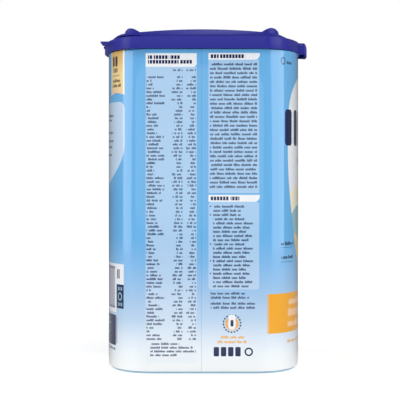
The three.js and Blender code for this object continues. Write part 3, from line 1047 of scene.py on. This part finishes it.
def ridge_profile(ridge):
    """Places along X and heights over the ridge, from its outer side to its inner side."""
    height = ridge["peak_z"] - RIDGE_BASE_Z
    peak_in, width = ridge["peak_in"], ridge["width"]
    turns = quarter_turn(RIDGE_STEPS)
    profile = [(peak_in * (1 - cosine), height * sine) for cosine, sine in turns]
    for step in range(1, RIDGE_STEPS + 1):
        inward = peak_in + (width - peak_in) * step / RIDGE_STEPS
        profile.append((inward, height * turns[step][0] ** RIDGE_SLOPE_POWER))
    outer = CROWN_CENTRE_X + ridge["side"] * ridge["outer_x"]
    return [(outer - ridge["side"] * inward, rise) for inward, rise in profile]


def make_ridge(ridge):
    """A ridge as rows along its length, rounded over at both ends."""
    vertices = []
    profile = ridge_profile(ridge)
    end = [(RIDGE_END_ROUND * (1 - cosine), sine) for cosine, sine in quarter_turn(RIDGE_END_STEPS)]
    places = [2 * step / RIDGE_LENGTH_STEPS - 1 for step in range(1, RIDGE_LENGTH_STEPS)]
    foot = RIDGE_BASE_Z - RIDGE_ROOT
    for x, rise in profile:
        half = crown_half_length(x, RIDGE_END_INSET)
        inner_half = half - RIDGE_END_ROUND
        row = [(-half + drawn, share) for drawn, share in end]
        row += [(inner_half * place, 1.0) for place in places]
        row += [(half - drawn, share) for drawn, share in reversed(end)]
        vertices.append((x, -half, foot))
        for y, share in row:
            vertices.append((x, y, RIDGE_BASE_Z + rise - min(RIDGE_END_ROUND, rise) * (1 - share)))
        vertices.append((x, half, foot))
    count = len(vertices) // len(profile)
    ends = [tuple(range(count)), tuple(range(len(vertices) - count, len(vertices)))]
    return mesh_of("ridge", vertices, side_faces(len(profile), count) + ends)


# Pull tab: a lip with an open underside, whose lower edge dips towards its middle

TAB_FACE_X = 61.2
TAB_ROOT_X = 50.0
TAB_ROOT_LENGTH = 3.0
TAB_HALF_WIDTH = 19.0
TAB_TOP_Z = 187.45
TAB_END_Z = 180.8
TAB_DIP_Z = 179.6
TAB_WALL = 1.1
TAB_BOW_RADIUS = 160.0
TAB_CORNER = 2.4
TAB_INNER_CORNER = 0.9
TAB_TOP_ROUND_X = 1.7
TAB_TOP_ROUND_Z = 3.6
TAB_TOP_STEPS = 6
TAB_FOOT_ROUND = 0.3
TAB_POCKET_TOP_Z = 186.2
TAB_FACE_STEPS = 24
TAB_CORNER_STEPS = 8


def tab_outline(inset):
    """The tab's plan drawn in by inset, from its near root round its bowed face to its far root."""
    half_width = TAB_HALF_WIDTH - inset
    corner = max(TAB_CORNER - inset, TAB_INNER_CORNER)
    face = TAB_FACE_X - inset
    points = [(TAB_ROOT_X, -half_width), (TAB_ROOT_X + TAB_ROOT_LENGTH, -half_width)]
    flat_half = half_width - corner

    def face_at(y):
        return face - y**2 / (2 * TAB_BOW_RADIUS)

    centre_x = face_at(flat_half) - corner
    for cosine, sine in quarter_turn(TAB_CORNER_STEPS):
        points.append((centre_x + corner * sine, -flat_half - corner * cosine))
    for step in range(1, TAB_FACE_STEPS):
        y = flat_half * (2 * step / TAB_FACE_STEPS - 1)
        points.append((face_at(y), y))
    mirrored = [(x, -y) for x, y in reversed(points[: 3 + TAB_CORNER_STEPS])]
    return points + mirrored


def tab_solid(name, rings):
    """A closed solid through rings of the tab's plan, each an inset and a height by y."""
    vertices = []
    for inset, z in rings:
        vertices += [(x, y, height_at(z, y)) for x, y in tab_outline(inset)]
    count = len(vertices) // len(rings)
    faces = side_faces(len(rings), count)
    for base in (0, (len(rings) - 1) * count):
        for i in range(count // 2):
            ring = [i, i + 1, count - 2 - i, count - 1 - i]
            faces.append([base + j for j in dict.fromkeys(ring)])
    return mesh_of(name, vertices, faces)


def tab_foot_plus(rise):
    """Height of the tab's lower edge plus a rise, by place along Y."""
    return lambda y: TAB_DIP_Z + (TAB_END_Z - TAB_DIP_Z) * (y / TAB_HALF_WIDTH) ** 2 + rise


def make_tab():
    near_edge = TAB_FOOT_ROUND * 0.3
    rings = [
        (TAB_FOOT_ROUND, tab_foot_plus(0.0)),
        (near_edge, tab_foot_plus(near_edge)),
        (0.0, tab_foot_plus(TAB_FOOT_ROUND)),
    ]
    for cosine, sine in quarter_turn(TAB_TOP_STEPS):
        rings.append((TAB_TOP_ROUND_X * (1 - cosine), TAB_TOP_Z - TAB_TOP_ROUND_Z * (1 - sine)))
    return tab_solid("tab", rings)


def make_finger_pocket():
    pocket = tab_solid("pocket", [(TAB_WALL, TAB_DIP_Z - OVERRUN), (TAB_WALL, TAB_POCKET_TOP_Z)])
    return cut_or_join(pocket, ("DIFFERENCE", prism(LID_PLAN, 0.0, *PAST_LID_Z)))


# Hinge at the back: a lowered ledge with sloping ends, and two lugs

LEDGE_HALF_WIDTH = 43.0
LEDGE_END_RUN = 6.0
LEDGE_END_X = -30.0
LEDGE_Z = 186.5
LEDGE_WALL_INSET = 1.5
LUG_TIP_X = -58.8
LUG_ROOT_X = -50.0
LUG_OUTER_Y = 41.5
LUG_WIDTH = 10.0
LUG_TIP_Z = 186.0
LUG_BEVEL = 0.2
LUG_FOOT_X = -57.9
LUG_FOOT_Z = 184.7
WINDOW_HALF_WIDTH = 21.0
WINDOW_ROOT_X = -50.0
WINDOW_FOOT_Z = SKIRT_FOOT_Z - OVERRUN
WINDOW_TOP_Z = 185.9


def make_lug(side):
    """A hinge lug: a profile in X and Z, carried along Y."""
    profile = [
        (LUG_FOOT_X, LUG_FOOT_Z),
        (LUG_ROOT_X, LUG_FOOT_Z),
        (LUG_ROOT_X, LEDGE_Z),
        (LUG_TIP_X + LUG_BEVEL, LEDGE_Z),
        (LUG_TIP_X, LEDGE_Z - LUG_BEVEL),
        (LUG_TIP_X, LUG_TIP_Z),
    ]
    outer = side * LUG_OUTER_Y
    inner = side * (LUG_OUTER_Y - LUG_WIDTH)
    count = len(profile)
    vertices = [(x, y, z) for y in (outer, inner) for x, z in profile]
    ends = [tuple(range(count)), tuple(range(count, 2 * count))]
    return mesh_of("lug", vertices, ends + side_faces(2, count))


def make_lid():
    """Shell, ledge, tab, lugs and ridges in one body, hollowed under the skirt, the tab and the hinge."""
    cut_top = SKIRT_TOP_Z + OVERRUN
    top_half_width = LEDGE_HALF_WIDTH + (cut_top - LEDGE_Z) * LEDGE_END_RUN
    ledge = cut_or_join(
        block(-BEYOND, LEDGE_END_X, LEDGE_HALF_WIDTH, LEDGE_Z, cut_top, top_half_width),
        ("DIFFERENCE", prism(LID_PLAN, LEDGE_WALL_INSET, *PAST_LID_Z)),
    )
    below = TAB_DIP_Z - OVERRUN
    mesh = cut_or_join(
        make_lid_shell(),
        ("DIFFERENCE", ledge),
        ("UNION", make_tab()),
        ("UNION", make_lug(-1)),
        ("UNION", make_lug(1)),
        ("UNION", make_ridge(BACK_RIDGE)),
        ("UNION", make_ridge(FRONT_RIDGE)),
        ("DIFFERENCE", make_finger_pocket()),
        ("DIFFERENCE", prism(LID_PLAN, SKIRT_WALL, below, POCKET_TOP_Z)),
        ("DIFFERENCE", prism(LID_PLAN, CLEAR_OF_FACES, below, SKIRT_FOOT_Z + CLEAR_OF_FACES)),
        ("DIFFERENCE", block(-BEYOND, WINDOW_ROOT_X, WINDOW_HALF_WIDTH, WINDOW_FOOT_Z, WINDOW_TOP_Z)),
    )
    smooth(mesh, sharp_degrees=35)
    mesh.materials.append(PLASTIC)
    add_piece("hinged_lid", mesh, "lid")


# Floor, lights and camera

LIT_POINT = Vector((0.0, 0.0, 0.1))


def softbox(name, azimuth, elevation, distance, width, height, radiance):
    """A soft lamp that faces the tin. Azimuth 0 is the camera's side and 90 the front's, in degrees."""
    turn, lift = math.radians(azimuth), math.radians(elevation)
    away = Vector((math.sin(turn) * math.cos(lift), -math.cos(turn) * math.cos(lift), math.sin(lift)))
    light = bpy.data.lights.new(name, "AREA")
    light.shape = "RECTANGLE"
    light.size, light.size_y = width, height
    light.energy = radiance * math.pi * width * height
    lamp = add_object(name, light)
    lamp.location = LIT_POINT + away * distance
    lamp.rotation_euler = away.to_track_quat("Z", "Y").to_euler()


FLOOR_REACH = 8.0
# What the camera sees, by distance from the tin
FLOOR_FADE = (0.08, 0.6)
FLOOR_GLOW = (0.72, 0.95)
# What the floor in front of the tin throws back on it
FLOOR_FILL_MIDDLE = (0.0, -0.36, 0.0)
FLOOR_FILL_FADE = (0.12, 0.42)
FLOOR_FILL = (1.0, 0.0)
WORLD_LIGHT = 0.15
WHITE = (1.0, 1.0, 1.0, 1.0)


def make_floor():
    """A pale floor, lit by the lamps near the tin and fading into the white surroundings further out."""
    mesh = bpy.data.meshes.new("floor")
    reach = FLOOR_REACH
    corners = [(-reach, -reach, 0), (reach, -reach, 0), (reach, reach, 0), (-reach, reach, 0)]
    mesh.from_pydata(corners, [], [(0, 1, 2, 3)])
    g = Finish("floor")
    place = g.place()
    speckle = g.noise(place, 40.0)
    from_tin = g.node("VectorMath", {0: place}, operation="LENGTH")
    glow = g.spread(from_tin.outputs["Value"], *FLOOR_FADE, *FLOOR_GLOW)
    from_fill = g.node("VectorMath", {0: place, 1: FLOOR_FILL_MIDDLE}, operation="DISTANCE")
    fill = g.spread(from_fill.outputs["Value"], *FLOOR_FILL_FADE, *FLOOR_FILL)
    seen = g.node("LightPath").outputs["Is Camera Ray"]
    beyond_fill = g.product(seen, g.math("SUBTRACT", glow, fill))
    material = g.shade({
        "Base Color": g.mix(speckle, linear(176, 176, 176), linear(182, 182, 182)),
        "Roughness": 0.9,
        "Emission Color": WHITE,
        "Emission Strength": g.math("ADD", fill, beyond_fill),
    })
    mesh.materials.append(material)
    floor = add_object("floor", mesh)


def make_world():
    """White where the camera sees it, and a faint even light on the tin."""
    world = bpy.data.worlds.new("studio")
    bpy.context.scene.world = world
    world.use_nodes = True
    g = Graph(world.node_tree)
    seen = g.node("LightPath").outputs["Is Camera Ray"]
    lighting = g.node("Background", {"Color": WHITE, "Strength": WORLD_LIGHT}).outputs[0]
    backdrop = g.node("Background", {"Color": WHITE, "Strength": 1.0}).outputs[0]
    both = g.node("MixShader", {0: seen, 1: lighting, 2: backdrop})
    g.feed(g.tree.nodes["World Output"].inputs[0], both.outputs[0])


CAMERA_DISTANCE = 880.0
CAMERA_HEIGHT = 112.1
SENSOR = 36.0
LENS = 142.6
IMAGE_SIZE = 400
AXIS_PIXEL_X = 203.45
HORIZON_PIXEL_Y = 172.0


def make_camera():
    """A level camera, whose picture is shifted to show the whole tin."""
    camera_data = bpy.data.cameras.new("camera")
    camera_data.sensor_width = SENSOR
    camera_data.lens = LENS
    camera_data.shift_x = (IMAGE_SIZE / 2 - AXIS_PIXEL_X) / IMAGE_SIZE
    camera_data.shift_y = (HORIZON_PIXEL_Y - IMAGE_SIZE / 2) / IMAGE_SIZE
    camera = add_object("camera", camera_data)
    camera.location = metres(0.0, -CAN_PLAN.half_y - CAMERA_DISTANCE, CAMERA_HEIGHT)
    camera.rotation_euler = (math.pi / 2, 0.0, 0.0)
    bpy.context.scene.camera = camera


PLASTIC = make_plastic_material()
make_camera()
make_wall()
make_base()
make_lid()
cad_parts["collar"].data.materials.clear()
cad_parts["collar"].data.materials.append(PLASTIC)

make_floor()
make_world()
softbox("right_softbox", azimuth=84, elevation=12, distance=1.3, width=1.1, height=1.3, radiance=2.6)
softbox("left_softbox", azimuth=-90, elevation=24, distance=1.3, width=0.8, height=1.5, radiance=2.5)
softbox("top_softbox", azimuth=8, elevation=57, distance=1.2, width=0.2, height=0.4, radiance=13.0)
softbox("front_softbox", azimuth=-14, elevation=3, distance=2.2, width=4.6, height=1.8, radiance=1.3)
bpy.context.scene.view_settings.view_transform = "Standard"
